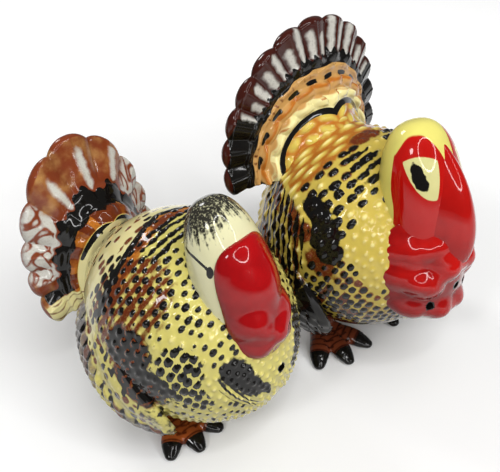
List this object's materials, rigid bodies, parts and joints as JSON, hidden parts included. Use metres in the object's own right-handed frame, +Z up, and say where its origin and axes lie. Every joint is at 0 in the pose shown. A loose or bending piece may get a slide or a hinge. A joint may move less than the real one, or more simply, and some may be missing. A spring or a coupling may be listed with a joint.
{
  "type": "turkey salt and pepper shaker pair",
  "caption": "Matched pair of glazed earthenware turkey shakers: a strutting tom with fanned tail, snood and wattle, and a smaller hen, each hollow with a stopper underneath.",
  "frame": {"origin": "on the table, under the middle of the pair's overall box", "axes": "+Z up; the tom faces -Y with the hen beside its right wing, towards -X; +X runs from the hen to the tom"},
  "size_m": [0.1498, 0.1172, 0.1206],
  "materials": {
    "plumage": "yellow plumage with painted dark dabs under a clear gloss glaze",
    "tail": "brown, black and white bands painted under a clear gloss glaze",
    "wing": "dark brown and black feathers with yellow edges under a clear gloss glaze",
    "head": "cream and yellow with painted eyes under a clear gloss glaze",
    "red_flesh": "bright red gloss glaze",
    "foot": "red-brown with black claws under a clear gloss glaze",
    "stopper": "soft translucent off-white plastic"
  },
  "bodies": {
    "tom": {"tom_body": "plumage", "tom_tail_fan": "tail", "tom_head": "head", "tom_snood": "red_flesh", "tom_wattle": "red_flesh", "tom_left_wing": "wing", "tom_right_wing": "wing", "tom_left_foot": "foot", "tom_right_foot": "foot"},
    "tom_stopper": {"tom_stopper": "stopper"},
    "hen": {"hen_body": "plumage", "hen_tail_fan": "tail", "hen_head": "head", "hen_wattle": "red_flesh", "hen_left_wing": "wing", "hen_right_wing": "wing", "hen_left_foot": "foot", "hen_right_foot": "foot"},
    "hen_stopper": {"hen_stopper": "stopper"}
  },
  "joints": [
    {"name": "hen_lift", "type": "slide", "parent": "tom", "child": "hen", "axis": [0, 0, 1], "range_m": [0, 0.12]},
    {"name": "tom_stopper_pull", "type": "slide", "parent": "tom", "child": "tom_stopper", "axis": [0, 0, -1], "range_m": [0, 0.007]},
    {"name": "hen_stopper_pull", "type": "slide", "parent": "hen", "child": "hen_stopper", "axis": [0, 0, -1], "range_m": [0, 0.007]}
  ]
}
